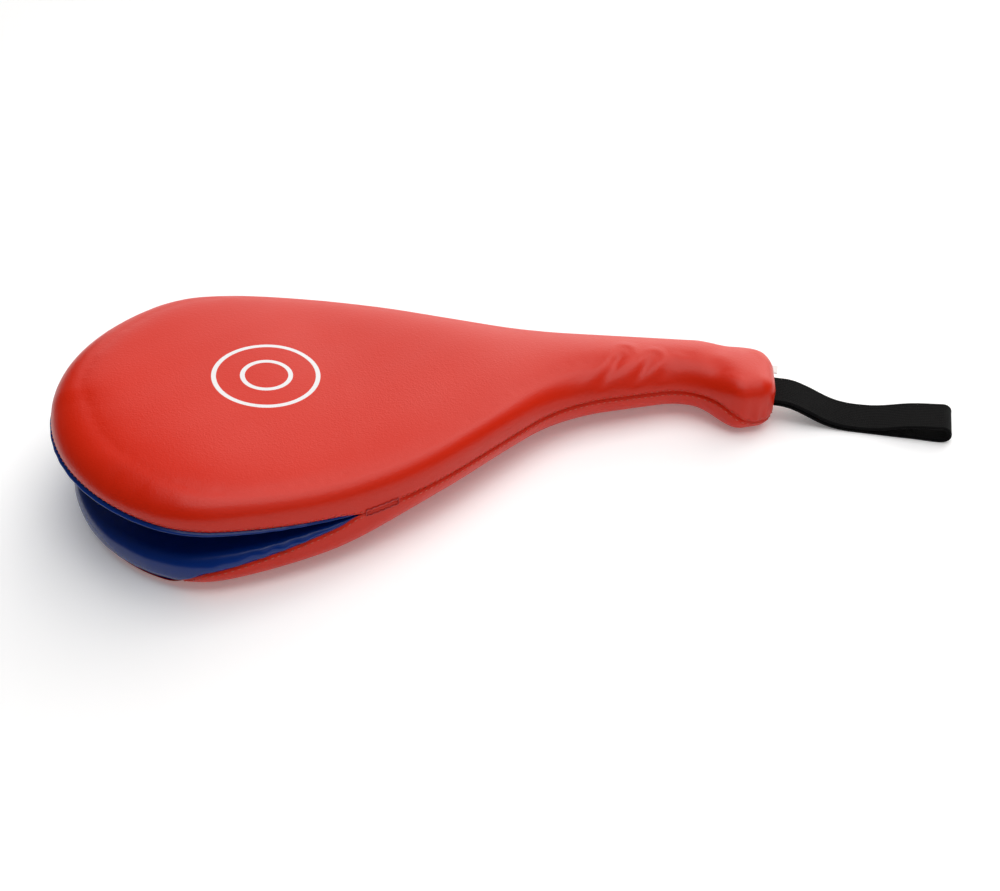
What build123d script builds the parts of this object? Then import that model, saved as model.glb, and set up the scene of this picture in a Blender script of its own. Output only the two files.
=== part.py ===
from build123d import *
import os
from math import atan2, cos, radians, sin

# A double kick paddle (target mitt). Two padded blades are sewn into one handle at the throat and stand
# apart at the tip. It rests on the lower blade's tip and the butt, with its tip at -X and its strap at +X.
# Millimetres, +Z up, origin on the ground under the middle of the whole object.

# Driving dimensions. Stations are distances from the tip of the flat plan.
TIP_TO_THROAT = 152.0         # the blades are separate up to here
TIP_TO_WIDEST = 82.0
TIP_TO_BUTT = 391.0
HEAD_HALF_WIDTH = 98.0
HALF_HEIGHT = 20.5            # thickness of one blade, and of each half of the handle at the throat
BUTT_HALF_HEIGHT = 17.0       # each half of the handle thins to this at the butt
BLADE_ANGLE = {"upper": 6.0, "lower": 5.5}             # degrees that each blade stands away from the handle
HANDLE_TILT = 2.58            # degrees that the handle falls from the throat to the butt
THROAT_HEIGHT = 27.52         # hinge line above the ground
RIM_RADIUS = 10.0             # rounding of the outer faces' rims
LOWER_SETBACK = 4.0           # the lower blade's tip stands back by this much
OPEN_FLEX = 5.0               # degrees that each blade can bend outwards from rest
FLEX_MARGIN = 0.3             # extra degrees of room at the throat
FACE_GAP = 0.2                # from the seam plane to each blade's facing side
THROAT_GAP = 0.2              # from the hinge line to each blade's end

# Plan outline, a chain of tangent arcs and lines on each side: lengths, radii and turns in degrees
TIP_TURN = 58.0
FAR_SHOULDER_RADIUS = 260.0
FAR_SHOULDER_TURN = 27.0
FAR_TAPER = 48.0
FAR_WAIST_RADIUS = 250.0
FAR_WAIST_TURN = 11.0
FAR_GRIP = 95.0
FAR_CORNER_RADIUS = 20.0
NEAR_SHOULDER_RADIUS = 236.0
NEAR_SHOULDER_TURN = 33.0
NEAR_TAPER = 46.5
NEAR_WAIST_RADIUS = 90.0
NEAR_GRIP = 29.5
HOOK_RADIUS = 32.0
HOOK_TURN = 50.0
HOOK_SLOPE = 12.0
HOOK_CORNER_RADIUS = 11.5
BUTT_TURN = 17.0              # the butt points this far to the near side

# Layers, measured outwards from the seam plane
COVER = 1.2                   # leathercloth
BOARD_START = 8.0
BOARD_THICK = 2.5
BOARD_INSET = 8.0             # soft rim of foam around the stiffener
BOARD_END = 343.0             # station where the stiffener's tongue ends in the handle
CLEAR = 0.3                   # room around the tongue, which shifts when the blades bend
FILLER_START = 153.0          # station
CORE_START = 246.0            # station
CORE_INSET = 9.5
RIVETS = [(264.0, 2.0), (294.0, 4.0), (324.0, 1.0)]    # station and distance across
RIVET_RADIUS = 2.5
RIVET_HEAD_RADIUS = 5.0
RIVET_HEAD_HEIGHT = 1.5
SEAM_RISE = {"upper": 2.0, "lower": 15.0}              # colour seam's height at the tip, above the throat

# Wrist strap and label
BUTT_EXIT = (390.6, -26.7)    # station and distance across where the strap leaves the butt
STRAP_TURN = 26.0             # the strap points this far to the near side
WEBBING_WIDTH = 22.0
WEBBING_THICK = 1.6
PLY_GAP = 0.2
STRAP_START = 3.6             # from the butt's end face to the free loop
TAIL_INSIDE = 7.5             # length sewn into the butt
TAIL_OUTSIDE = 1.0
LOOP_REACH = 98.0             # from the butt's end face to the loop's far end
LOOP_END_RADIUS = 4.3
LABEL_SIZE = (9.0, 7.0, 0.6)
LABEL_CENTRE = (-3.5, 17.0)   # from the strap's exit: outwards, and across to the far side

# Derived places
TURN = radians(STRAP_TURN)
TILT = radians(HANDLE_TILT)
UPPER_RISE = radians(HANDLE_TILT + BLADE_ANGLE["upper"])
THROAT_TO_TIP = TIP_TO_THROAT * cos(UPPER_RISE)
EXIT_TO_END = LOOP_REACH * cos(TURN) + WEBBING_WIDTH / 2 * sin(TURN)
THROAT_TO_END = (BUTT_EXIT[0] - TIP_TO_THROAT) * cos(TILT) + EXIT_TO_END
THROAT_X = (THROAT_TO_TIP - THROAT_TO_END) / 2
THROAT = Vector(THROAT_X, 0, THROAT_HEIGHT)
BOARD_TOP = BOARD_START + BOARD_THICK
TAIL_THICK = 2 * WEBBING_THICK + PLY_GAP


def half_plane(half, rise):
    """Plane through the hinge line, rising to the tip, with its normal pointing out of that half."""
    out = 1 if half == "upper" else -1
    slope = radians(rise)
    return Plane(THROAT, x_dir=(cos(slope), 0, -sin(slope)), z_dir=(out * sin(slope), 0, out * cos(slope)))


HALVES = ("upper", "lower")
SEAM_PLANE = {half: half_plane(half, HANDLE_TILT) for half in HALVES}
BLADE_PLANE = {
    "upper": half_plane("upper", HANDLE_TILT + BLADE_ANGLE["upper"]),
    "lower": half_plane("lower", HANDLE_TILT - BLADE_ANGLE["lower"]),
}
HOOK_SIDE = {"upper": 1, "lower": -1}
SETBACK = {"upper": 0.0, "lower": LOWER_SETBACK}
BUTT_PLANE = Plane(
    THROAT + SEAM_PLANE["upper"].x_dir * (BUTT_EXIT[0] - TIP_TO_THROAT) + Vector(0, BUTT_EXIT[1], 0),
    x_dir=SEAM_PLANE["upper"].x_dir * cos(TURN) - Vector(0, sin(TURN), 0),
    z_dir=SEAM_PLANE["upper"].z_dir,
)
STRAP_PLANE = Plane(
    BUTT_PLANE.origin, x_dir=(cos(TURN), -sin(TURN), 0), z_dir=(-sin(TURN), -cos(TURN), 0)
)


def head_radii(tip_to_widest):
    """Radii of the two arcs from the tip to the widest point, the first turning by TIP_TURN."""
    turn = radians(TIP_TURN)
    difference = (HEAD_HALF_WIDTH - tip_to_widest) / (cos(turn) + sin(turn) - 1)
    return tip_to_widest + difference * cos(turn), HEAD_HALF_WIDTH - difference * sin(turn)


def plan_outline(inset=0.0, setback=0.0, side=1):
    """Whole plan from the throat; side -1 turns the hook to +Y, and setback shortens the tip."""
    tip_radius, brow_radius = head_radii(TIP_TO_WIDEST - setback)
    start = (setback - TIP_TO_THROAT, 0)
    butt_direction = (-sin(radians(BUTT_TURN)), -side * cos(radians(BUTT_TURN)))
    with BuildSketch() as plan:
        with BuildLine():
            far_tip = JernArc(start, (0, side), tip_radius, -side * TIP_TURN)
            far_brow = JernArc(far_tip @ 1, far_tip % 1, brow_radius, -side * (90 - TIP_TURN))
            far_shoulder = JernArc(
                far_brow @ 1, far_brow % 1, FAR_SHOULDER_RADIUS, -side * FAR_SHOULDER_TURN
            )
            far_taper = PolarLine(far_shoulder @ 1, FAR_TAPER, direction=far_shoulder % 1)
            far_waist = JernArc(far_taper @ 1, far_taper % 1, FAR_WAIST_RADIUS, side * FAR_WAIST_TURN)
            far_grip = PolarLine(far_waist @ 1, FAR_GRIP, direction=far_waist % 1)
            far_turn = 90 + BUTT_TURN - FAR_SHOULDER_TURN + FAR_WAIST_TURN
            far_corner = JernArc(far_grip @ 1, far_grip % 1, FAR_CORNER_RADIUS, -side * far_turn)

            near_tip = JernArc(start, (0, -side), tip_radius, side * TIP_TURN)
            near_brow = JernArc(near_tip @ 1, near_tip % 1, brow_radius, side * (90 - TIP_TURN))
            near_shoulder = JernArc(
                near_brow @ 1, near_brow % 1, NEAR_SHOULDER_RADIUS, side * NEAR_SHOULDER_TURN
            )
            near_taper = PolarLine(near_shoulder @ 1, NEAR_TAPER, direction=near_shoulder % 1)
            near_waist = JernArc(
                near_taper @ 1, near_taper % 1, NEAR_WAIST_RADIUS, -side * NEAR_SHOULDER_TURN
            )
            near_grip = PolarLine(near_waist @ 1, NEAR_GRIP, direction=near_waist % 1)
            hook = JernArc(near_grip @ 1, near_grip % 1, HOOK_RADIUS, -side * HOOK_TURN)
            hook_slope = PolarLine(hook @ 1, HOOK_SLOPE, direction=hook % 1)
            hook_corner = JernArc(hook_slope @ 1, hook_slope % 1, HOOK_CORNER_RADIUS, side * HOOK_TURN)

            drop = ((hook_corner @ 1).Y - (far_corner @ 1).Y) / butt_direction[1]
            butt_corner = (far_corner @ 1) + Vector(butt_direction) * drop
            Line(far_corner @ 1, butt_corner)
            Line(hook_corner @ 1, butt_corner)
        make_face()
        fillet(plan.vertices().sort_by_distance(butt_corner)[0], HOOK_CORNER_RADIUS)
        if inset:
            offset(amount=-inset)
    return plan.sketch


def station_plane(plane, station):
    """Plane across the paddle at a station, facing the butt."""
    origin = plane.origin + plane.x_dir * (station - TIP_TO_THROAT)
    return Plane(origin, x_dir=plane.y_dir, z_dir=plane.x_dir)


def half_form(plane, inner, inset=0.0, setback=0.0, side=1, taper=0.0):
    """One padded half on its plane, from inner outwards, pulled in by inset, with its outer rim rounded."""
    outer_face = Plane(
        plane.origin + plane.z_dir * HALF_HEIGHT,
        x_dir=plane.x_dir * cos(taper) - plane.z_dir * sin(taper),
        z_dir=plane.z_dir * cos(taper) + plane.x_dir * sin(taper),
    )
    with BuildPart() as form:
        with BuildSketch(plane.offset(inner)):
            add(plan_outline(inset, setback, side))
        extrude(amount=2 * HALF_HEIGHT)
        split(bisect_by=outer_face.offset(-inset), keep=Keep.BOTTOM)
        rim = form.faces().sort_by(Axis(plane.origin, plane.z_dir))[-1]
        fillet(rim.edges(), RIM_RADIUS - inset)
    return form.part


def throat_cut(half):
    """End of a blade at the hinge line, leaning back so that the blade has room to bend outwards."""
    plane = BLADE_PLANE[half]
    angle = radians(BLADE_ANGLE[half] + OPEN_FLEX + FLEX_MARGIN)
    toward_tip = plane.x_dir * -cos(angle) - plane.z_dir * sin(angle)
    return Plane(plane.origin - plane.x_dir * THROAT_GAP, x_dir=plane.y_dir, z_dir=toward_tip)


def blade_form(half, inset):
    """A blade's closed form, or with an inset the hollow inside its covers."""
    with BuildPart() as form:
        add(half_form(BLADE_PLANE[half], FACE_GAP + inset, inset, SETBACK[half]))
        split(bisect_by=throat_cut(half), keep=Keep.TOP)
    return form.part


def handle_form(half, inset):
    """Half of the throat and handle, or with an inset the hollow inside its cover."""
    taper = atan2(HALF_HEIGHT - BUTT_HALF_HEIGHT, TIP_TO_BUTT - TIP_TO_THROAT)
    with BuildPart() as form:
        add(half_form(SEAM_PLANE[half], 0, inset, side=HOOK_SIDE[half], taper=taper))
        split(bisect_by=station_plane(SEAM_PLANE[half], TIP_TO_THROAT), keep=Keep.TOP)
    return form.part


def colour_seam(half):
    """Plane of the seam between a blade's two colours, rising from the throat to the tip."""
    plane = BLADE_PLANE[half]
    outwards = plane.z_dir + plane.x_dir * (SEAM_RISE[half] / TIP_TO_THROAT)
    return Plane(plane.origin + plane.z_dir * (FACE_GAP + COVER), x_dir=plane.y_dir, z_dir=outwards)


def board_form(half, clear=0.0):
    """Stiffener: a plate inside the blade and its tongue in the handle, swollen by clear."""
    blade = BLADE_PLANE[half]
    seam = SEAM_PLANE[half]
    with BuildPart() as form:
        with BuildSketch(blade.offset(BOARD_START - clear)):
            add(plan_outline(BOARD_INSET - clear, SETBACK[half]))
        extrude(amount=BOARD_THICK + 2 * clear)
        split(bisect_by=station_plane(blade, TIP_TO_THROAT), keep=Keep.BOTTOM)
        with BuildPart(mode=Mode.PRIVATE) as tongue:
            with BuildSketch(seam.offset(BOARD_START - clear)):
                add(plan_outline(BOARD_INSET - clear, side=HOOK_SIDE[half]))
            extrude(amount=BOARD_THICK + 2 * clear)
            split(bisect_by=station_plane(seam, TIP_TO_THROAT), keep=Keep.TOP)
            split(bisect_by=station_plane(seam, BOARD_END + clear), keep=Keep.BOTTOM)
        add(tongue.part)
    return form.part


def filler_and_core(start, end, inset):
    """Plate between the two stiffener tongues, from one station to another, inset from the outline."""
    seam = SEAM_PLANE["upper"]
    thickness = 2 * (BOARD_START - CLEAR)
    with BuildPart() as form:
        with BuildSketch(seam.offset(-thickness / 2)):
            add(plan_outline(inset))
        extrude(amount=thickness)
        split(bisect_by=station_plane(seam, start), keep=Keep.TOP)
        split(bisect_by=station_plane(seam, end), keep=Keep.BOTTOM)
    return form.part


def rivet_form():
    """Three rivets through the tongues and the core, with a head on each side."""
    head_start = BOARD_TOP + CLEAR
    with BuildPart() as form:
        for station, across in RIVETS:
            with BuildSketch(SEAM_PLANE["upper"].offset(-head_start)):
                with Locations((station - TIP_TO_THROAT, across)):
                    Circle(RIVET_RADIUS)
            extrude(amount=2 * head_start)
            for half in HALVES:
                with BuildSketch(SEAM_PLANE[half].offset(head_start)):
                    with Locations((station - TIP_TO_THROAT, across * HOOK_SIDE[half])):
                        Circle(RIVET_HEAD_RADIUS)
                extrude(amount=RIVET_HEAD_HEIGHT)
    return form.part


def tail_form():
    """The strap's two plies where they pass through the butt's end seam."""
    with BuildPart() as form:
        with BuildSketch(BUTT_PLANE.offset(-TAIL_THICK / 2)):
            with Locations(((TAIL_OUTSIDE - TAIL_INSIDE) / 2, 0)):
                Rectangle(TAIL_OUTSIDE + TAIL_INSIDE, WEBBING_WIDTH)
        extrude(amount=TAIL_THICK)
    return form.part


def label_form():
    """Blank woven tab sewn into the end seam beside the strap."""
    length, width, thickness = LABEL_SIZE
    with BuildPart() as form:
        with BuildSketch(BUTT_PLANE.offset(-thickness / 2)):
            with Locations(LABEL_CENTRE):
                Rectangle(length, width)
        extrude(amount=thickness)
    return form.part


def save(piece, name):
    piece.part.label = name
    export_step(piece.part, f"parts/{name}.step")


os.makedirs("parts", exist_ok=True)

rivets = rivet_form()
tail = tail_form()
label = label_form()
core = filler_and_core(CORE_START, TIP_TO_BUTT, CORE_INSET)
filler = filler_and_core(FILLER_START, CORE_START, COVER)

with BuildPart() as handle_rivets:
    add(rivets)
save(handle_rivets, "handle_rivets")

with BuildPart() as handle_core:
    add(core)
    add(rivets, mode=Mode.SUBTRACT)
save(handle_core, "handle_core")

with BuildPart() as throat_filler:
    add(filler)
save(throat_filler, "throat_filler")

with BuildPart() as strap_tail:
    add(tail)
save(strap_tail, "strap_tail")

with BuildPart() as label_tab:
    add(label)
save(label_tab, "label_tab")

for half in HALVES:
    with BuildPart() as handle_cover:
        add(handle_form(half, 0))
        add(handle_form(half, COVER), mode=Mode.SUBTRACT)
        add([tail, label], mode=Mode.SUBTRACT)
    save(handle_cover, f"handle_cover_{half}")

    with BuildPart() as handle_foam:
        add(handle_form(half, COVER))
        add([filler, core, board_form(half, CLEAR), rivets, tail, label], mode=Mode.SUBTRACT)
    save(handle_foam, f"handle_foam_{half}")

    with BuildPart() as outer_cover:
        add(blade_form(half, 0))
        add(blade_form(half, COVER), mode=Mode.SUBTRACT)
        split(bisect_by=colour_seam(half), keep=Keep.TOP)
    save(outer_cover, f"{half}_outer_cover")

    with BuildPart() as inner_cover:
        add(blade_form(half, 0))
        add(blade_form(half, COVER), mode=Mode.SUBTRACT)
        split(bisect_by=colour_seam(half), keep=Keep.BOTTOM)
    save(inner_cover, f"{half}_inner_cover")

    with BuildPart() as stiffener_board:
        add(board_form(half))
        for station, across in RIVETS:
            with BuildSketch(SEAM_PLANE[half].offset(BOARD_START - 1)):
                with Locations((station - TIP_TO_THROAT, across * HOOK_SIDE[half])):
                    Circle(RIVET_RADIUS + CLEAR)
            extrude(amount=BOARD_THICK + 2, mode=Mode.SUBTRACT)
    save(stiffener_board, f"{half}_stiffener_board")

    with BuildPart() as impact_foam:
        add(blade_form(half, COVER))
        split(bisect_by=BLADE_PLANE[half].offset(BOARD_START), keep=Keep.TOP)
        add(board_form(half), mode=Mode.SUBTRACT)
    save(impact_foam, f"{half}_impact_foam")

    with BuildPart() as backing_foam:
        add(blade_form(half, COVER))
        split(bisect_by=BLADE_PLANE[half].offset(BOARD_START), keep=Keep.BOTTOM)
    save(backing_foam, f"{half}_backing_foam")

# The strap's free loop: down to the ground, along it, round its end and back over itself to the butt
ground = -BUTT_PLANE.origin.Z
floor_ply = ground + WEBBING_THICK / 2
ply_offset = (WEBBING_THICK + PLY_GAP) / 2
floor_end = LOOP_REACH - WEBBING_THICK / 2 - LOOP_END_RADIUS
with BuildPart() as strap_loop:
    with BuildSketch(STRAP_PLANE) as band:
        with BuildLine() as route:
            lower_fall = Spline(
                (STRAP_START, -ply_offset),
                (9, ground + 14.2),
                (15, ground + 11.6),
                (22, ground + 7.6),
                (30, ground + 3.7),
                (39, ground + 1.4),
                (50, floor_ply),
                tangents=[(1, 0), (1, 0)],
            )
            floor_run = Line(lower_fall @ 1, (floor_end, floor_ply))
            loop_end = JernArc(floor_run @ 1, floor_run % 1, LOOP_END_RADIUS, 190)
            upper_rise = Spline(
                loop_end @ 1,
                (82, ground + 8.4),
                (74, ground + 7.2),
                (66, ground + 5.4),
                (57, ground + 3.6),
                (48, ground + 2.9),
                (38, ground + 3.9),
                (29, ground + 6.9),
                (21, ground + 11.1),
                (12, ground + 15.2),
                (STRAP_START, ply_offset),
                tangents=[loop_end % 1, (-1, 0)],
            )
        trace(line_width=WEBBING_THICK)
    extrude(amount=WEBBING_WIDTH / 2, both=True)
save(strap_loop, "strap_loop")
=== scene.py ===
import math
import bpy
import numpy as np
from mathutils import Matrix, Vector
from mathutils.geometry import delaunay_2d_cdt


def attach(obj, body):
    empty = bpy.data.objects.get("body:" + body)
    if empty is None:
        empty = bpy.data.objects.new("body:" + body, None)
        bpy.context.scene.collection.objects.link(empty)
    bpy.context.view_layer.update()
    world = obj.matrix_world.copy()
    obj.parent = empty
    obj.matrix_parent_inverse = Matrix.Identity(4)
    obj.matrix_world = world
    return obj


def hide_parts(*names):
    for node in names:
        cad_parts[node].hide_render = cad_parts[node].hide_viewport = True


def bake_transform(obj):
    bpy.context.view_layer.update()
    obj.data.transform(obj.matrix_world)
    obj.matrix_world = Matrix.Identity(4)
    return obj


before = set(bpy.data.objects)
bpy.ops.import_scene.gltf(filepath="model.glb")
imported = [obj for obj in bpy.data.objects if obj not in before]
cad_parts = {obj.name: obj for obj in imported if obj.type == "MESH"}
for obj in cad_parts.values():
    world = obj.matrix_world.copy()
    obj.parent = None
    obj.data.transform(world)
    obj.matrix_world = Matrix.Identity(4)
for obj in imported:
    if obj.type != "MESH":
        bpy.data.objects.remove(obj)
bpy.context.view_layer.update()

# ------------------------------------------------------------------ sizes, in mm and radians
THROAT = 152.0                # stations are distances from the tip of the flat plan
BUTT = 391.0
HEAD_HALF_WIDTH = 98.0
THROAT_X = -90.48157          # hinge line in the frame
THROAT_Z = 27.52
TILT = math.radians(2.58)     # the handle falls from the throat to the butt
OPEN = {"upper": math.radians(6.0), "lower": math.radians(5.5)}
SETBACK = {"upper": 0.0, "lower": 4.0}        # of a blade's tip
SEAM_BEND = 9.0               # half length over which the skin bends at the throat, at the seam
FACE_BEND = 40.0              # and on the outer face
FACE_FROM, FACE_OVER = 2.0, 14.0              # the face's bend takes over from this height, within this much
TURN_IN = 3.2                 # width of the skin that is turned in behind a seam
RED_DIP, BLUE_DIP = 1.1, 0.9  # width of a skin's dip at a seam
FLAT = 0.2                    # height of the facing above the plane between the halves
SEAM_START = 1.4              # height of a colour seam at the throat
SEAM_RISE = {"upper": 2.0, "lower": 15.0}     # and its rise from there to the tip
SEAM_STEP, SEAM_TOP = 7.5, 19.2               # extra rise of the lower one near the tip, and its limit
HOOK_DIP = 9.0                # drop of the side seam towards the hook's corner
FACE_DROP = {"upper": 2.3, "lower": 0.4}      # from a half's thickness to the end of its rim
CROWN = {"upper": 2.8, "lower": 0.4}          # swell of the face
STEEP = {"upper": math.radians(82), "lower": math.radians(88)}      # where the rim gives way to the face
EXIT = (147.87657, -26.7, 16.7796)            # of the strap from the butt
STRAP_TURN = math.radians(26)


# ------------------------------------------------------------------ camera
def add_camera():
    """The camera, from its back and right directions and its place in metres."""
    data = bpy.data.cameras.new("camera")
    data.sensor_fit = "HORIZONTAL"
    data.sensor_width = 36.0
    data.lens = 46.8
    data.clip_start = 0.01
    cam = bpy.data.objects.new("camera", data)
    bpy.context.scene.collection.objects.link(cam)
    back = Vector((-0.12834, -0.76342, 0.63302)).normalized()
    right = Vector((0.97858, -0.20108, -0.04409))
    right = (right - right.dot(back) * back).normalized()
    cam.matrix_world = Matrix((right, back.cross(right), back)).transposed().to_4x4()
    cam.location = (-0.10108, -0.57321, 0.46003)
    bpy.context.scene.camera = cam


add_camera()


# ------------------------------------------------------------------ plan outline
def walk(start, heading, moves, step=0.25):
    """Points along a chain of lines (length,) and arcs (radius, turn in degrees)."""
    points = [np.array(start, float)]
    heading = math.radians(heading)
    for move in moves:
        length = move[0] if len(move) == 1 else move[0] * math.radians(abs(move[1]))
        turn = 0.0 if len(move) == 1 else math.radians(move[1])
        count = max(2, int(round(length / step)))
        for i in range(count):
            middle = heading + turn * (i + 0.5) / count
            points.append(points[-1] + length / count * np.array([math.cos(middle), math.sin(middle)]))
        heading += turn
    return np.array(points)


def outline(setback=0.0):
    """Closed plan, from the tip along the near side to the butt and back along the far side."""
    tip_turn, widest = 58, 82.0
    turn = math.radians(tip_turn)
    reach = widest - setback
    difference = (HEAD_HALF_WIDTH - reach) / (math.cos(turn) + math.sin(turn) - 1)
    tip_radius = reach + difference * math.cos(turn)
    brow_radius = HEAD_HALF_WIDTH - difference * math.sin(turn)
    far = walk((setback, 0), 90, [(tip_radius, -tip_turn), (brow_radius, tip_turn - 90), (260, -27), (48,),
                                  (250, 11), (95,), (20, -91)])
    hook_radius, butt_turn, butt_slant = 11.5, 73, math.radians(17)
    near = [(tip_radius, tip_turn), (brow_radius, 90 - tip_turn), (236, 33), (46.5,), (90, -33), (29.5,),
            (32, -50), (12,), (hook_radius, 50)]
    hook = walk((setback, 0), -90, near)[-1]
    butt = np.array([-math.sin(butt_slant), -math.cos(butt_slant)])
    corner = far[-1] + butt * (hook[1] - far[-1][1]) / butt[1]
    cut = hook_radius * math.tan(math.radians(butt_turn / 2))
    toe, end = corner[0] - hook[0] - cut, np.linalg.norm(corner - far[-1]) - cut
    near += [(toe,), (hook_radius, butt_turn), (end,)]
    return np.vstack([walk((setback, 0), -90, near)[:-1], far[:0:-1]])


def resample(points, spacing, closed):
    """The polyline again, with equal spacing near the given one."""
    if closed:
        points = np.vstack([points, points[:1]])
    along = np.concatenate([[0], np.cumsum(np.linalg.norm(np.diff(points, axis=0), axis=1))])
    count = int(round(along[-1] / spacing))
    at = np.linspace(0, along[-1], count + 1)
    if closed:
        at = at[:-1]
    return np.stack([np.interp(at, along, points[:, 0]), np.interp(at, along, points[:, 1])], 1), at


def outward(points, closed):
    """Unit normals that point out of the plan."""
    if closed:
        tangent = np.roll(points, -2, 0) - np.roll(points, 2, 0)
    else:
        tangent = np.gradient(points, axis=0)
    tangent /= np.linalg.norm(tangent, axis=1)[:, None]
    return np.stack([tangent[:, 1], -tangent[:, 0]], 1)


def inside(points, polygon):
    """Which points lie inside the polygon."""
    result = np.zeros(len(points), bool)
    x, y = points[:, 0], points[:, 1]
    for a, b in zip(polygon, np.roll(polygon, -1, 0)):
        crosses = (a[1] > y) != (b[1] > y)
        with np.errstate(divide="ignore", invalid="ignore"):
            result ^= crosses & (x < (b[0] - a[0]) * (y - a[1]) / (b[1] - a[1]) + a[0])
    return result


def distance(points, polygon, closed=True):
    """Distance of each point from the polygon's edge."""
    ends = np.roll(polygon, -1, 0) if closed else polygon[1:]
    starts = polygon if closed else polygon[:-1]
    best = np.full(len(points), 1e9)
    for a, b in zip(starts, ends):
        edge = b - a
        t = np.clip((points - a) @ edge / (edge @ edge), 0, 1)
        best = np.minimum(best, np.linalg.norm(points - a - t[:, None] * edge, axis=1))
    return best


def fill(polygon, spacing):
    """Even triangles inside a polygon whose corners stay as they are, as the new points and all triangles."""
    low, high = polygon.min(0), polygon.max(0)
    rows = np.arange(low[1], high[1], spacing * math.sqrt(3) / 2)
    grid = np.array([(x + (j % 2) * spacing / 2, y) for j, y in enumerate(rows)
                     for x in np.arange(low[0], high[0], spacing)])
    grid = grid[inside(grid, polygon)]
    clearance = 0.55 * spacing
    grid = grid[distance(grid, polygon) > clearance]
    points = [Vector(p) for p in np.vstack([polygon, grid])]
    count = len(polygon)
    edges = [(i, (i + 1) % count) for i in range(count)]
    verts, _, faces, _, _, _ = delaunay_2d_cdt(points, edges, [], 1, 1e-7)
    if len(verts) != len(points):
        raise ValueError(f"the fill has {len(verts)} points instead of {len(points)}")
    faces = [tuple(f) for f in faces]
    middle = np.array([np.mean([verts[i] for i in f], axis=0) for f in faces])
    keep = inside(middle, polygon)
    return grid, [f for f, k in zip(faces, keep) if k]


def relax(values, held, faces, reach, rounds=600):
    """A skin that is held at its edge, at 0, and rises to 1 over the given reach."""
    pairs = set()
    for f in faces:
        for a, b in zip(f, f[1:] + f[:1]):
            pairs.add((min(a, b), max(a, b)))
    pairs = np.array(sorted(pairs))
    count = len(values)
    degree = np.bincount(pairs.ravel(), minlength=count).astype(float)
    for _ in range(rounds):
        total = np.bincount(pairs[:, 0], values[pairs[:, 1]], count)
        total += np.bincount(pairs[:, 1], values[pairs[:, 0]], count)
        mean = total / degree
        values = np.where(held, 0.0, (mean * reach + 1) / (reach + 1))
    return values


def ease(x):
    """Smooth step from 0 to 1."""
    x = np.clip(x, 0, 1)
    return x * x * (3 - 2 * x)


# ------------------------------------------------------------------ from the flat plan to the frame
def bent(x, height, opening, reach):
    """Along and out of the seam plane, for a skin that bends by the opening within reach of the throat."""
    steps = np.linspace(-reach, reach, 141)
    angles = opening * (1 - ease((steps + reach) / (2 * reach)))
    mean = (angles[1:] + angles[:-1]) / 2
    run = np.concatenate([[0], np.cumsum(np.cos(mean) * np.diff(steps))]) - reach * math.cos(opening)
    rise = reach * math.sin(opening) - np.concatenate([[0], np.cumsum(np.sin(mean) * np.diff(steps))])
    slide = ease((x + reach) / (2 * reach))
    bend_x = np.interp(x, steps, run) - slide * (run[-1] - reach)
    bend_z = np.interp(x, steps, rise) - slide * rise[-1]
    base_x = np.where(x < -reach, x * math.cos(opening), np.where(x > reach, x, bend_x))
    base_z = np.where(x < -reach, -x * math.sin(opening), np.where(x > reach, 0.0, bend_z))
    angle = np.interp(x, steps, angles)
    return base_x + height * np.sin(angle), base_z + height * np.cos(angle)


def place(plan, height, half):
    """Metres in the frame for plan points at a height out of the seam plane, bent at the throat."""
    x, y = plan[:, 0] - THROAT, plan[:, 1]
    tight_x, tight_z = bent(x, height, OPEN[half], SEAM_BEND)
    soft_x, soft_z = bent(x, height, OPEN[half], FACE_BEND)
    share = ease((height - FACE_FROM) / FACE_OVER)
    local_x = tight_x + share * (soft_x - tight_x)
    local_z = (tight_z + share * (soft_z - tight_z)) * (1 if half == "upper" else -1)
    return np.stack([THROAT_X + local_x * math.cos(TILT) + local_z * math.sin(TILT), y,
                     THROAT_Z - local_x * math.sin(TILT) + local_z * math.cos(TILT)], 1) / 1000


def add_mesh(name, points, faces, material, smooth=True):
    """An object from points in metres."""
    mesh = bpy.data.meshes.new(name)
    mesh.from_pydata([tuple(p) for p in points], [], [tuple(f) for f in faces])
    mesh.validate()
    mesh.update()
    if smooth:
        mesh.shade_smooth()
    obj = bpy.data.objects.new(name, mesh)
    bpy.context.scene.collection.objects.link(obj)
    mesh.materials.append(material)
    return obj


def strip_faces(rows, count, closed, offset=0):
    """Quads between neighbouring rows of count points each."""
    faces = []
    for r in range(rows - 1):
        for i in range(count if closed else count - 1):
            j = (i + 1) % count
            a, b = offset + r * count, offset + (r + 1) * count
            faces.append((a + i, a + j, b + j, b + i))
    return faces


# ------------------------------------------------------------------ materials
def new_material(name):
    """A material with its node tree and its shader."""
    material = bpy.data.materials.new(name)
    material.use_nodes = True
    tree = material.node_tree
    shader = tree.nodes["Principled BSDF"]
    return material, tree, shader


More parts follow.
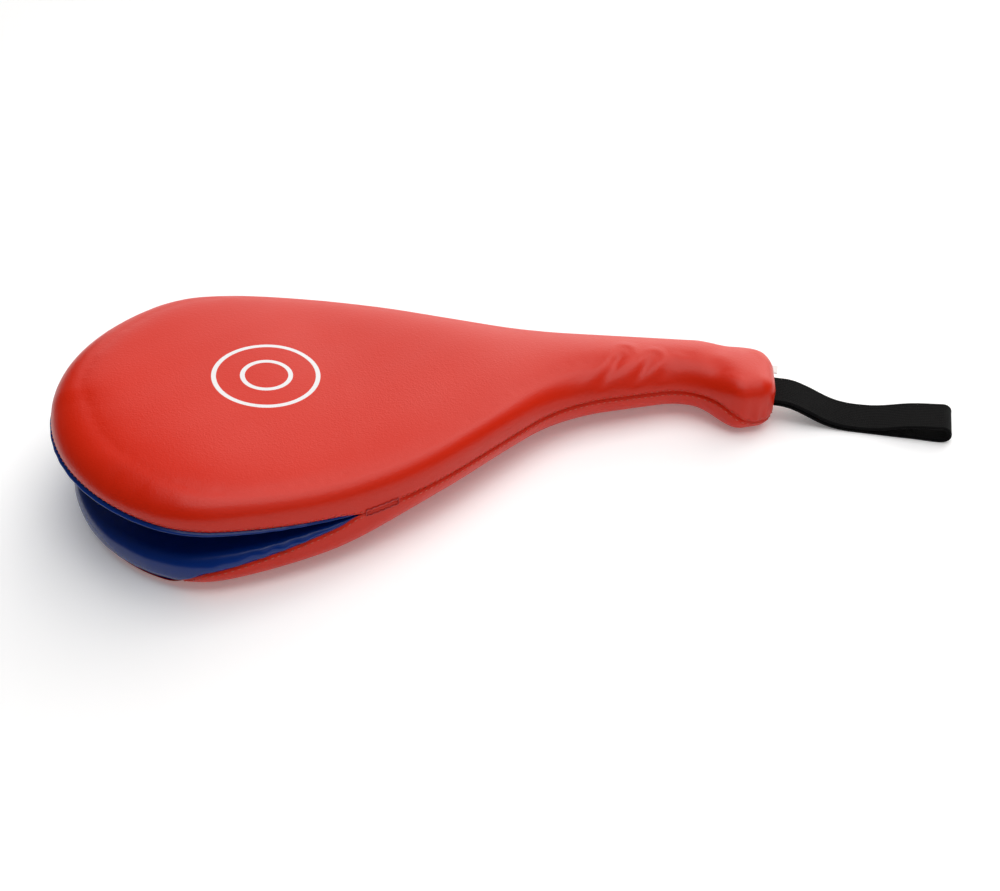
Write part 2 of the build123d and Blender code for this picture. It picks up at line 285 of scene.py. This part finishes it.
def leathercloth(name, dark, light, roughness, grain, depth):
    """Coated cloth with a fine grain, slightly uneven in colour and gloss."""
    material, tree, shader = new_material(name)
    shader.inputs["Specular IOR Level"].default_value = 0.30
    nodes, links = tree.nodes, tree.links
    where = nodes.new("ShaderNodeTexCoord")
    broad = nodes.new("ShaderNodeTexNoise")
    broad.inputs["Scale"].default_value = 14
    broad.inputs["Detail"].default_value = 3
    links.new(where.outputs["Object"], broad.inputs["Vector"])
    mix = nodes.new("ShaderNodeMix")
    mix.data_type = "RGBA"
    mix.inputs["A"].default_value = (*dark, 1)
    mix.inputs["B"].default_value = (*light, 1)
    links.new(broad.outputs["Fac"], mix.inputs["Factor"])
    links.new(mix.outputs["Result"], shader.inputs["Base Color"])
    gloss = nodes.new("ShaderNodeMapRange")
    gloss.inputs["To Min"].default_value = roughness - 0.05
    gloss.inputs["To Max"].default_value = roughness + 0.06
    links.new(broad.outputs["Fac"], gloss.inputs["Value"])
    links.new(gloss.outputs["Result"], shader.inputs["Roughness"])
    cells = nodes.new("ShaderNodeTexVoronoi")
    cells.feature = "SMOOTH_F1"
    cells.inputs["Scale"].default_value = grain
    links.new(where.outputs["Object"], cells.inputs["Vector"])
    fine = nodes.new("ShaderNodeTexNoise")
    fine.inputs["Scale"].default_value = grain * 0.45
    fine.inputs["Detail"].default_value = 4
    links.new(where.outputs["Object"], fine.inputs["Vector"])
    total = nodes.new("ShaderNodeMath")
    total.operation = "ADD"
    links.new(cells.outputs["Distance"], total.inputs[0])
    links.new(fine.outputs["Fac"], total.inputs[1])
    bump = nodes.new("ShaderNodeBump")
    bump.inputs["Strength"].default_value = 1.0
    bump.inputs["Distance"].default_value = depth
    links.new(total.outputs["Value"], bump.inputs["Height"])
    links.new(bump.outputs["Normal"], shader.inputs["Normal"])
    return material


def plain(name, colour, roughness, scale=900, depth=0.00005, metallic=0.0):
    """A simple finish with a little texture: foam, wood, board, thread or label cloth."""
    material, tree, shader = new_material(name)
    nodes, links = tree.nodes, tree.links
    where = nodes.new("ShaderNodeTexCoord")
    noise = nodes.new("ShaderNodeTexNoise")
    noise.inputs["Scale"].default_value = scale
    noise.inputs["Detail"].default_value = 3
    links.new(where.outputs["Object"], noise.inputs["Vector"])
    mix = nodes.new("ShaderNodeMix")
    mix.data_type = "RGBA"
    mix.inputs["A"].default_value = (*[c * 0.82 for c in colour], 1)
    mix.inputs["B"].default_value = (*[min(1, c * 1.12) for c in colour], 1)
    links.new(noise.outputs["Fac"], mix.inputs["Factor"])
    links.new(mix.outputs["Result"], shader.inputs["Base Color"])
    shader.inputs["Roughness"].default_value = roughness
    shader.inputs["Metallic"].default_value = metallic
    bump = nodes.new("ShaderNodeBump")
    bump.inputs["Distance"].default_value = depth
    links.new(noise.outputs["Fac"], bump.inputs["Height"])
    links.new(bump.outputs["Normal"], shader.inputs["Normal"])
    return material


def woven(name, colour, warp, weft, depth):
    """Webbing: warp ribs along the strap crossed by finer weft, at pitches in mm, from UVs in mm."""
    material, tree, shader = new_material(name)
    nodes, links = tree.nodes, tree.links
    where = nodes.new("ShaderNodeUVMap")
    where.uv_map = "UVMap"
    split = nodes.new("ShaderNodeSeparateXYZ")
    links.new(where.outputs["UV"], split.inputs["Vector"])

    def wave(source, pitch, shift=None):
        """Sine of the source, once round in each pitch, shifted by another socket."""
        scale = nodes.new("ShaderNodeMath")
        scale.operation = "MULTIPLY"
        scale.inputs[1].default_value = 2 * math.pi / pitch
        links.new(source, scale.inputs[0])
        if shift is not None:
            add = nodes.new("ShaderNodeMath")
            add.operation = "ADD"
            links.new(scale.outputs[0], add.inputs[0])
            links.new(shift, add.inputs[1])
            scale = add
        sine = nodes.new("ShaderNodeMath")
        sine.operation = "SINE"
        links.new(scale.outputs[0], sine.inputs[0])
        return sine.outputs[0]

    across = wave(split.outputs["Y"], warp)
    flip = nodes.new("ShaderNodeMath")
    flip.operation = "MULTIPLY"
    flip.inputs[1].default_value = 1.3
    links.new(across, flip.inputs[0])
    along = wave(split.outputs["X"], weft, flip.outputs[0])
    total = nodes.new("ShaderNodeMath")
    total.operation = "ADD"
    links.new(across, total.inputs[0])
    links.new(along, total.inputs[1])
    # The colour follows the same waves as the bump: painted shade in the weave's hollows and painted
    # highlight on its ribs
    weave_shade = nodes.new("ShaderNodeMapRange")
    weave_shade.inputs["From Min"].default_value = -2
    weave_shade.inputs["From Max"].default_value = 2
    links.new(total.outputs[0], weave_shade.inputs["Value"])
    mix = nodes.new("ShaderNodeMix")
    mix.data_type = "RGBA"
    mix.inputs["A"].default_value = (*[c * 0.45 for c in colour], 1)
    mix.inputs["B"].default_value = (*[c * 1.5 for c in colour], 1)
    links.new(weave_shade.outputs["Result"], mix.inputs["Factor"])
    links.new(mix.outputs["Result"], shader.inputs["Base Color"])
    shader.inputs["Roughness"].default_value = 0.75
    shader.inputs["Specular IOR Level"].default_value = 0.08
    bump = nodes.new("ShaderNodeBump")
    bump.inputs["Distance"].default_value = depth
    links.new(total.outputs[0], bump.inputs["Height"])
    links.new(bump.outputs["Normal"], shader.inputs["Normal"])
    return material


def print_target(material, centre, rings, colour):
    """Thin printed rings on the cloth, by inner and outer radii, placed by UVs in metres of the flat plan."""
    span = 0.05                   # radius at the end of the ramp
    nodes, links = material.node_tree.nodes, material.node_tree.links
    shader = nodes["Principled BSDF"]
    where = nodes.new("ShaderNodeUVMap")
    where.uv_map = "UVMap"
    away = nodes.new("ShaderNodeVectorMath")
    away.operation = "DISTANCE"
    away.inputs[1].default_value = (*centre, 0)
    links.new(where.outputs["UV"], away.inputs[0])
    ramp = nodes.new("ShaderNodeValToRGB")
    ramp.color_ramp.interpolation = "CONSTANT"
    reach = nodes.new("ShaderNodeMath")
    reach.operation = "DIVIDE"
    reach.inputs[1].default_value = span
    links.new(away.outputs["Value"], reach.inputs[0])
    links.new(reach.outputs[0], ramp.inputs["Fac"])
    ramp.color_ramp.elements[0].color = (0, 0, 0, 1)
    ramp.color_ramp.elements[1].position = rings[0] / span
    ramp.color_ramp.elements[1].color = (1, 1, 1, 1)
    for index, radius in enumerate(rings[1:]):
        stop = ramp.color_ramp.elements.new(radius / span)
        stop.color = (index % 2, index % 2, index % 2, 1)
    mix = nodes.new("ShaderNodeMix")
    mix.data_type = "RGBA"
    mix.inputs["B"].default_value = (*colour, 1)
    links.new(ramp.outputs["Color"], mix.inputs["Factor"])
    links.new(shader.inputs["Base Color"].links[0].from_socket, mix.inputs["A"])
    links.new(mix.outputs["Result"], shader.inputs["Base Color"])


# leathercloth: two tones, roughness, grains per metre, depth of the grain in metres
REDS = (0.59, 0.014, 0.001), (0.64, 0.018, 0.0015), 0.34, 1300, 0.00006
RED = leathercloth("red_leathercloth", *REDS)
PRINTED = leathercloth("red_leathercloth_printed", *REDS)
TARGET_CENTRE = 0.111, 0.006                          # in metres of the flat plan
TARGET_RINGS = 0.0115, 0.0140, 0.0265, 0.0290         # inner and outer radius of each
print_target(PRINTED, TARGET_CENTRE, TARGET_RINGS, (0.80, 0.78, 0.79))
BLUE = leathercloth("blue_leathercloth", (0.000, 0.020, 0.160), (0.001, 0.030, 0.230), 0.25, 1500, 0.00002)
BLACK = woven("black_webbing", (0.0025, 0.0025, 0.0028), 1.5, 1.1, 0.00012)
THREAD = plain("red_thread", (0.42, 0.012, 0.012), 0.5, 3000, 0.00003)
PALE_THREAD = plain("pale_red_thread", (0.62, 0.11, 0.07), 0.5, 3000, 0.00003)
BOARD = plain("grey_board", (0.25, 0.26, 0.27), 0.45)
WOOD = plain("core_wood", (0.45, 0.28, 0.14), 0.6, 120)
METAL = plain("rivet_metal", (0.6, 0.6, 0.62), 0.3, 400, 0.00002, 1.0)
LABEL = plain("label_cloth", (0.80, 0.80, 0.78), 0.7, 2500, 0.00004)


# ------------------------------------------------------------------ padded halves
# ease((x - a) / b) is 0 up to station a and 1 from a + b on
def seam_height(x, y, half):
    """Height where the red skin starts: the side seam on the handle, the colour seam on a blade."""
    t = np.clip((THROAT - x) / THROAT, 0, 1)
    blade = SEAM_START + t * SEAM_RISE[half]
    if half == "lower":
        blade = np.minimum(blade + SEAM_STEP * ease((t - 0.52) / 0.16), SEAM_TOP)
    dip = HOOK_DIP * ease((x - 352) / 22) * ease((-y - 16) / 24)
    return blade * ease((THROAT - x) / 12.0) + (-dip if half == "upper" else dip)


def half_height(x):
    """Thickness of a half, which thins along the handle."""
    thickness, thinning = 20.5, 3.5
    return thickness - thinning * np.clip((x - THROAT) / (BUTT - THROAT), 0, 1)


def rim_size(x, y, half):
    """Rounding of the outer rim, across and up: fuller where the cover is pulled round the handle."""
    waist, grip, butt = ease((x - 130) / 70), ease((x - 225) / 60), ease((x - 355) / 20)
    near = ease((6 - y) / 16)
    before = 1 - ease((x - 343) / 17)             # of the hook
    if half == "upper":
        tip = ease((105 - x) / 90)
        near_size = 10 + 12 * tip + 6 * grip * before, 10 + 3.5 * tip + 4.5 * grip * before
        far_size = 8 + 9 * tip + 7 * butt, 8 + 5 * tip + 7 * butt
    else:
        near_size = 10 + (16 * waist - 5 * grip) * before, 10 + (8 * waist - 1.2 * grip) * before
        far_size = 10 + 2 * waist, 10 + 3 * waist
    return [a * near + b * (1 - near) for a, b in zip(near_size, far_size)]


def rim_top(x, half):
    """Height of the face where the rounding ends, below the crown."""
    return half_height(x) - FACE_DROP[half]


def pull(x):
    """How far the skins dip at a seam; less where the tack holds the throat."""
    at_tack = ease((x - THROAT + 4) / 5) * (1 - ease((x - THROAT - 17) / 5))
    return 0.9 - 0.6 * at_tack


def pleats(x, y, s):
    """Gathers of the cover at the hook's corner, at the length s from the seam."""
    wave = np.sin((x + 0.5 * y) / 1.15) * (0.6 + 0.4 * np.sin(x / 2.7 + 1))
    at_corner = ease((x - 357) / 7) * (1 - ease((x - 381) / 6)) * ease((-y - 34) / 8)
    depth, fade = 0.85, 10
    return depth * wave * at_corner * np.exp(-(s / fade) ** 2) * ease(s)


def outer_profile(s, start, x, y, half):
    """Inset and height on the outside of a section, at the length s along it from the height start."""
    across, up = rim_size(x, y, half)
    knee = rim_top(x, half) - up
    wall = np.clip(knee - start, 0, None)
    first = np.arcsin(np.clip((start - knee) / up, 0, 0.999))
    angle = first + np.clip(s - wall, 0, None) / up
    on_wall = s < wall
    height = np.where(on_wall, start + s, knee + up * np.sin(angle))
    inset = np.where(on_wall, 0.0, across * (1 - np.cos(angle)))
    return inset, height


def profile_length(start, x, y, half):
    """Length of a section from the height start to where the face begins."""
    up = rim_size(x, y, half)[1]
    knee = rim_top(x, half) - up
    wall = np.clip(knee - start, 0, None)
    first = np.arcsin(np.clip((start - knee) / up, 0, 0.999))
    return wall + (STEEP[half] - first) * up


# Creases of the upper face, as (points, width, depth), with points as (station, distance across)
CREASES = [
    ([(282, -27), (291, -20), (301, -11), (311, 1)], 2.6, 1.15),
    ([(294, -32), (304, -25), (315, -16), (326, -6)], 2.4, 1.25),
    ([(312, -29), (323, -22), (336, -13)], 2.6, 0.85),
    ([(363, -13), (358, -24), (351, -36)], 5.5, 1.2),
    ([(22, -66), (31, -69), (37, -78)], 6.0, 0.75),
    ([(36, -73), (45, -79), (50, -88)], 6.0, 0.6),
]


def folds(plan):
    """How far the upper cover is pulled in by its creases, with a soft swell beside each."""
    depth = np.zeros(len(plan))
    for points, width, deep in CREASES:
        points = np.array(points, float)
        off = distance(plan, points, False) / width
        ends = np.minimum(np.linalg.norm(plan - points[0], axis=1), np.linalg.norm(plan - points[-1], axis=1))
        fade = ease(0.1 + ends / (4 * width))
        depth += deep * fade * (np.exp(-off ** 2) - 0.35 * np.exp(-(off - 2.1) ** 2))
    return depth


def drift(plan):
    """Slight unevenness of a hand-filled pad."""
    x, y = plan[:, 0], plan[:, 1]
    size = 0.22 * (1 - 0.8 * ease((x - 325) / 30))
    broad = np.sin(x / 17 + 1.3) * np.sin(y / 21 + 0.4)
    small = 0.6 * np.sin(x / 9 - y / 13) * np.sin(y / 11 + 2)
    return size * (broad + small)


def surface(half):
    """Plan points, heights and faces of the outer cover of a half, from the tip to the butt."""
    ring, _ = resample(outline(SETBACK[half]), 1.6, True)
    normal = outward(ring, True)
    x, y = ring[:, 0], ring[:, 1]
    start = seam_height(x, y, half)
    length = profile_length(start, x, y, half)
    fine = [0, 0.4, 0.8, 1.3, 2.0, 2.8]
    coarse = 11
    lengths = [np.full_like(x, s) for s in fine]
    lengths += [fine[-1] + (length - fine[-1]) * k / coarse for k in range(1, coarse + 1)]
    rows = [(ring - normal * TURN_IN, start + 0.6)]
    for s in lengths:
        inset, height = outer_profile(s, start, x, y, half)
        inset = inset + pull(x) * np.exp(-(s / RED_DIP) ** 2)
        if half == "upper":
            inset = inset + pleats(x, y, s)
        rows.append((ring - normal * inset[:, None], height))
    count = len(ring)
    last = (len(rows) - 1) * count
    faces = strip_faces(len(rows), count, True)
    grid, inner = fill(rows[-1][0], 1.7)
    held = np.zeros(count + len(grid), bool)
    held[:count] = True
    crown = relax(np.zeros(count + len(grid)), held, inner, 110.0 if half == "upper" else 40.0)
    face = np.vstack([rows[-1][0], grid])
    size = rim_size(np.concatenate([x, grid[:, 0]]), np.concatenate([y, grid[:, 1]]), half)[1]
    face_height = rim_top(face[:, 0], half) - size * (1 - math.sin(STEEP[half])) + CROWN[half] * crown
    face_height += drift(face) * crown * (1 if half == "upper" else 0.3)
    plan = np.vstack([r[0] for r in rows] + [grid])
    height = np.concatenate([r[1] for r in rows] + [face_height[count:]])
    faces += [tuple(last + i for i in f) for f in inner]
    if half == "upper":
        height -= folds(plan) * ease((height - 3) / 9)
    return plan, height, faces


def red_skin(half):
    """Outer cover in one skin, with UVs in metres of its flat plan."""
    plan, height, faces = surface(half)
    if half == "lower":
        faces = [f[::-1] for f in faces]
    cloth = PRINTED if half == "upper" else RED
    cover = add_mesh(f"{half}_cover", place(plan, height, half), faces, cloth)
    layer = cover.data.uv_layers.new(name="UVMap")
    corners = np.zeros(len(cover.data.loops), int)
    cover.data.loops.foreach_get("vertex_index", corners)
    layer.data.foreach_set("uv", (plan[corners] / 1000).ravel())
    return cover


def blue_skin(half):
    """Facing side of a blade, wrapped over its inner edge up to the colour seam."""
    whole, _ = resample(outline(SETBACK[half]), 0.25, True)
    x = whole[:, 0]
    near = np.where((x < THROAT + 3) & (whole[:, 1] <= 0))[0]
    far = np.where((x < THROAT + 3) & (whole[:, 1] > 0))[0]
    line, along = resample(np.vstack([whole[near][::-1], whole[far][::-1]]), 1.3, False)
    normal = -outward(line, False)
    x, y = line[:, 0], line[:, 1]
    start = seam_height(x, y, half)
    corner = np.clip(0.8 * (start - FLAT), 0.05, 1.6 if half == "upper" else 7.0)
    drop = np.clip(start - FLAT - corner, 0, None)
    rows = [(line - normal * TURN_IN, start - 0.4)]
    total = drop + corner * math.pi / 2
    swell = (0.9 if half == "upper" else 0.3) * ease((THROAT - x) / 60)
    pucker = 0.12 if half == "upper" else 0.55
    ripple = np.sin(along / 1.9 + 0.8 * np.sin(along / 7.3)) * (0.6 + 0.4 * np.sin(along / 23))
    wobble = 0.4 * np.sin(along / 5.3 + 1.5 * np.sin(along / 19)) * ease((THROAT - x) / 60)
    across, up = rim_size(x, y, half)
    steps = 16
    for k in range(steps + 1):
        s = total * (k / steps) ** 1.3
        on_wall = s < drop
        angle = np.clip((s - drop) / corner, 0, math.pi / 2)
        share = np.clip(s / total, 0, 1)
        height = np.where(on_wall, start - s, FLAT + corner * (1 - np.sin(angle)))
        if half == "lower":
            height = height + wobble * np.sin(math.pi * share) ** 2
        inset = np.where(on_wall, 0.0, corner * (1 - np.cos(angle)))
        over = np.clip((height - (rim_top(x, half) - up)) / up, 0, 0.999)
        inset = inset + across * (1 - np.sqrt(1 - over ** 2))
        inset = inset + pull(x) * np.exp(-(s / BLUE_DIP) ** 2) - swell * np.sin(math.pi * share) ** 0.8
        inset = inset + pucker * ripple * np.exp(-(s / 4.5) ** 2) * ease((THROAT - x) / 40) * ease(s / 0.6)
        rows.append((line - normal * inset[:, None], height))
    plan = np.vstack([r[0] for r in rows])
    height = np.concatenate([r[1] for r in rows])
    count = len(line)
    faces = [f[::-1] for f in strip_faces(len(rows), count, False)]
    last = (len(rows) - 1) * count
    grid, inner = fill(rows[-1][0], 2.6)
    plan = np.vstack([plan, grid])
    height = np.concatenate([height, np.full(len(grid), FLAT)])
    faces += [tuple(last + i for i in f) for f in inner]
    if half == "upper":
        faces = [f[::-1] for f in faces]
    return add_mesh(f"{half}_facing", place(plan, height, half), faces, BLUE)


def seam_points(ring, normal, up, out, half):
    """Points on the red skin at a height above its seam, and a little out of it."""
    x, y = ring[:, 0], ring[:, 1]
    inset, height = outer_profile(np.full(len(ring), up), seam_height(x, y, half), x, y, half)
    inset = inset + pull(x) * math.exp(-(up / RED_DIP) ** 2) - out
    return place(ring - normal * inset[:, None], height, half)


def stitches(half, up=1.5, pitch=3.4, length=2.3, thick=0.26):
    """A row of short stitches all along the seam, as small six-sided spindles."""
    spacing = 0.3
    ring, along = resample(outline(SETBACK[half]), spacing, True)
    normal = outward(ring, True)
    low, high = (seam_points(ring, normal, up, out, half) * 1000 for out in (-0.05, 0.2))
    rise = seam_points(ring, normal, up + 1, 0.2, half) * 1000 - high
    step = int(round(length / (2 * spacing)))
    points, faces = [], []
    for middle in np.arange(0, along[-1] - pitch, pitch):
        at = int(round(middle / spacing)) % len(ring)
        out = np.append(normal[at], 0.0)
        side = rise[at] / np.linalg.norm(rise[at])
        base = len(points)
        points.append(low[(at - step) % len(ring)])
        for angle in np.radians(range(0, 360, 60)):
            points.append(high[at] + thick * (math.cos(angle) * out + math.sin(angle) * side))
        points.append(low[(at + step) % len(ring)])
        for i in range(6):
            this, following = base + 1 + i, base + 1 + (i + 1) % 6
            faces += [(base, this, following), (base + 7, following, this)]
    if half == "lower":
        faces = [f[::-1] for f in faces]
    return add_mesh(f"{half}_stitches", np.array(points) / 1000, faces, PALE_THREAD)


def tube(name, points, radius, material):
    """Closed round cord through a loop of points, in mm."""
    points = np.array(points)
    tangent = np.roll(points, -1, 0) - np.roll(points, 1, 0)
    tangent /= np.linalg.norm(tangent, axis=1)[:, None]
    first = np.cross(tangent, (0.0, 1.0, 0.02))       # no stretch of the loop runs that way
    first /= np.linalg.norm(first, axis=1)[:, None]
    second = np.cross(tangent, first)
    sides = 8
    angles = np.radians(range(0, 360, 360 // sides))
    rings = [points + radius * (math.cos(a) * first + math.sin(a) * second) for a in angles]
    verts = np.stack(rings, 1).reshape(-1, 3) / 1000
    count = len(points)
    faces = []
    for r in range(count):
        this, following = r * sides, (r + 1) % count * sides
        for i in range(sides):
            j = (i + 1) % sides
            faces.append((this + i, this + j, following + j, following + i))
    return add_mesh(name, verts, faces, material)


def tack(name, side):
    """Bar of stitching that closes the throat: one narrow loop across the side seam."""
    ring, _ = resample(outline(), 0.5, True)
    x, y = ring[:, 0], ring[:, 1]
    here = (x > THROAT + 1.5) & (x < THROAT + 19) & (y * side > 0)
    plan = ring[here] + outward(ring, True)[here] * 0.25
    wave = 0.25 * np.sin(np.arange(len(plan)) * 0.9)
    top, bottom = (place(plan, np.full(len(plan), up) + wave, "upper") * 1000 for up in (1.9, -1.7))
    return tube(name, np.vstack([top, bottom[::-1]]), 0.3, THREAD)


def board(half):
    """Stiffener: plate in the blade and tongue in the handle."""
    margin, tongue_end, bottom, top = 8.4, 343, 8.0, 10.5
    ring, _ = resample(outline(SETBACK[half]), 6.0, True)
    ring = ring - outward(ring, True) * margin
    ring = ring[ring[:, 0] < tongue_end]
    grid, inner = fill(ring, 7.0)
    plan = np.vstack([ring, grid])
    count, total = len(ring), len(ring) + len(grid)
    low = place(plan, np.full(total, bottom), half)
    high = place(plan, np.full(total, top), half)
    faces = [f[::-1] for f in inner] + [tuple(total + i for i in f) for f in inner]
    faces += [(i, (i + 1) % count, total + (i + 1) % count, total + i) for i in range(count)]
    if half == "lower":
        faces = [f[::-1] for f in faces]
    return add_mesh(f"{half}_board", np.vstack([low, high]), faces, BOARD, False)


def bend(obj):
    """Bakes the piece's placement into its mesh."""
    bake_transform(obj)


for half in ("upper", "lower"):
    cover = red_skin(half)
    bend(cover)
    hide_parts(f"{half}_outer_cover", f"handle_cover_{half}", f"handle_foam_{half}",
                f"{half}_impact_foam", f"{half}_backing_foam")
    if half == "upper":
        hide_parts("throat_filler")
    facing = blue_skin(half)
    bend(facing)
    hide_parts(f"{half}_inner_cover")
    thread = stitches(half)
    bend(thread)
    plate = board(half)
    bend(plate)
    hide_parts(f"{half}_stiffener_board")


for name, side in (("throat_tack_near", -1), ("throat_tack_far", 1)):
    bar = tack(name, side)
    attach(bar, "handle")


# ------------------------------------------------------------------ wrist strap
def spline(points, spacing):
    """Smooth curve through the points, by natural cubic pieces over the chord length, sampled evenly."""
    points = np.array(points, float)
    t = np.concatenate([[0], np.cumsum(np.linalg.norm(np.diff(points, axis=0), axis=1))])
    h = np.diff(t)
    count = len(points)
    matrix, right = np.eye(count), np.zeros((count, 2))
    for i in range(1, count - 1):
        matrix[i, i - 1:i + 2] = h[i - 1], 2 * (h[i - 1] + h[i]), h[i]
        right[i] = 6 * ((points[i + 1] - points[i]) / h[i] - (points[i] - points[i - 1]) / h[i - 1])
    second = np.linalg.solve(matrix, right)
    at = np.linspace(0, t[-1], int(t[-1] / 0.5))
    i = np.clip(np.searchsorted(t, at, side="right") - 1, 0, count - 2)
    a, b, w = (t[i + 1] - at)[:, None], (at - t[i])[:, None], h[i][:, None]
    curve = (second[i] * a ** 3 + second[i + 1] * b ** 3) / (6 * w) \
        + (points[i] / w - second[i] * w / 6) * a + (points[i + 1] / w - second[i + 1] * w / 6) * b
    return resample(curve, spacing, False)


def strap():
    """Webbing loop, one band from its lower ply in the butt round to its upper ply."""
    lower_ply = [(-7.5, 12.9), (-3, 12.9), (3.6, 12.8), (9, 12.2), (15, 10.2), (22, 6.9), (30, 3.3),
                 (39, 1.2), (50, 0.8), (62, 0.8), (72, 0.8), (82, 0.8)]
    turns = np.radians([0, 45, 90, 135, 180, 190])
    fold = [(92.9 + 4.3 * math.sin(a), 5.1 - 4.3 * math.cos(a)) for a in turns]
    upper_ply = [(82, 8.4), (74, 7.2), (66, 5.2), (57, 3.3), (48, 2.7), (38, 3.4), (30, 5.7), (22, 9.5),
                 (15, 12.6), (9, 14.4), (3.6, 14.75), (-3, 14.75), (-7.5, 14.75)]
    path, along = spline(lower_ply + fold + upper_ply, 1.2)
    tangent = np.gradient(path, axis=0)
    tangent /= np.linalg.norm(tangent, axis=1)[:, None]
    normal = np.stack([-tangent[:, 1], tangent[:, 0]], 1)
    wide, thick = 11.0, 0.8       # half the width and half the thickness
    bevel = wide - 0.25
    ribbed = [(v, thick - 0.12 * (abs(v) < 9.7)) for v in np.linspace(9.9, -9.9, 15)]     # edges are thicker
    upper_side = [(wide, 0.35), (bevel, thick)] + ribbed + [(-bevel, thick), (-wide, 0.35)]
    section = np.array([(-v, -w) for v, w in upper_side] + upper_side)
    direction = np.array([math.cos(STRAP_TURN), -math.sin(STRAP_TURN), 0])
    across = np.array([math.sin(STRAP_TURN), math.cos(STRAP_TURN), 0])
    origin = np.array([EXIT[0], EXIT[1], 0])
    points = []
    for (s, z), (ns, nz) in zip(path, normal):
        for v, w in section:
            up = np.array([0, 0, z + nz * w])
            points.append((origin + direction * (s + ns * w) + across * v + up) / 1000)
    count = len(section)
    faces = [f[::-1] for f in strip_faces(len(path), count, True)]
    faces += [tuple(range(count)), tuple(range(len(path) * count - 1, (len(path) - 1) * count - 1, -1))]
    obj = add_mesh("wrist_strap", points, faces, BLACK)
    layer = obj.data.uv_layers.new(name="UVMap")
    for poly in obj.data.polygons:
        for loop in poly.loop_indices:
            index = obj.data.loops[loop].vertex_index
            layer.data[loop].uv = (along[index // count], section[index % count][0] + 20)
    return obj, direction, along[-1]


band, strap_direction, strap_length = strap()
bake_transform(band)
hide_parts("strap_loop", "strap_tail")


# ------------------------------------------------------------------ carried-over CAD nodes and the stage
for name, material in (("handle_core", WOOD), ("handle_rivets", METAL), ("label_tab", LABEL)):
    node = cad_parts[name]
    for index in range(len(node.material_slots)):
        node.material_slots[index].link = "OBJECT"
        node.material_slots[index].material = material


def paper():
    """Even, pale studio floor."""
    material, _, shader = new_material("floor_paper")
    shader.inputs["Base Color"].default_value = (0.95, 0.95, 0.955, 1)
    shader.inputs["Roughness"].default_value = 0.9
    shader.inputs["Specular IOR Level"].default_value = 0.2
    shader.inputs["Emission Color"].default_value = (1, 1, 1, 1)
    shader.inputs["Emission Strength"].default_value = 0.15
    return material


def glow(tree):
    """Soft studio light from all round, brightest up behind the butt, with a pale backdrop."""
    nodes, links = tree.nodes, tree.links
    background = nodes["Background"]
    background.inputs["Color"].default_value = (1.0, 0.97, 0.93, 1)
    where = nodes.new("ShaderNodeTexCoord")
    aim = nodes.new("ShaderNodeVectorMath")
    aim.operation = "DOT_PRODUCT"
    aim.inputs[1].default_value = (0.62, 0.64, 0.46)
    links.new(where.outputs["Generated"], aim.inputs[0])
    rise = nodes.new("ShaderNodeMapRange")
    rise.interpolation_type = "SMOOTHSTEP"
    rise.inputs["From Min"].default_value = 0.76
    rise.inputs["From Max"].default_value = 1.05
    rise.inputs["To Min"].default_value = 0.07
    rise.inputs["To Max"].default_value = 3.0
    links.new(aim.outputs["Value"], rise.inputs["Value"])
    backdrop = nodes.new("ShaderNodeMix")
    backdrop.inputs["B"].default_value = 0.95
    ray = nodes.new("ShaderNodeLightPath")
    links.new(ray.outputs["Is Camera Ray"], backdrop.inputs["Factor"])
    links.new(rise.outputs["Result"], backdrop.inputs["A"])
    links.new(backdrop.outputs["Result"], background.inputs["Strength"])


def stage():
    """Floor, world and three soft lights, aimed at the origin."""
    reach, level = 1.4, -0.0002
    corners = [(-reach, -reach, level), (reach, -reach, level), (reach, reach, level), (-reach, reach, level)]
    floor = add_mesh("floor", corners, [(0, 1, 2, 3)], paper(), False)
    world = bpy.data.worlds.new("studio")
    bpy.context.scene.world = world
    world.use_nodes = True
    glow(world.node_tree)
    for name, where, size, watts in (
        ("top", (0.3, -0.05, 1.7), 1.8, 26.0),
        ("front", (0.5, -1.5, 1.4), 1.6, 4.0),
        ("horizon", (0.2, 2.2, 0.5), 2.0, 13.0),
    ):
        data = bpy.data.lights.new(name, "AREA")
        data.size = size
        data.energy = watts
        lamp = bpy.data.objects.new(name, data)
        bpy.context.scene.collection.objects.link(lamp)
        lamp.location = where
        lamp.rotation_euler = Vector(where).to_track_quat("Z", "Y").to_euler()
    bpy.context.scene.view_settings.view_transform = "Standard"


stage()
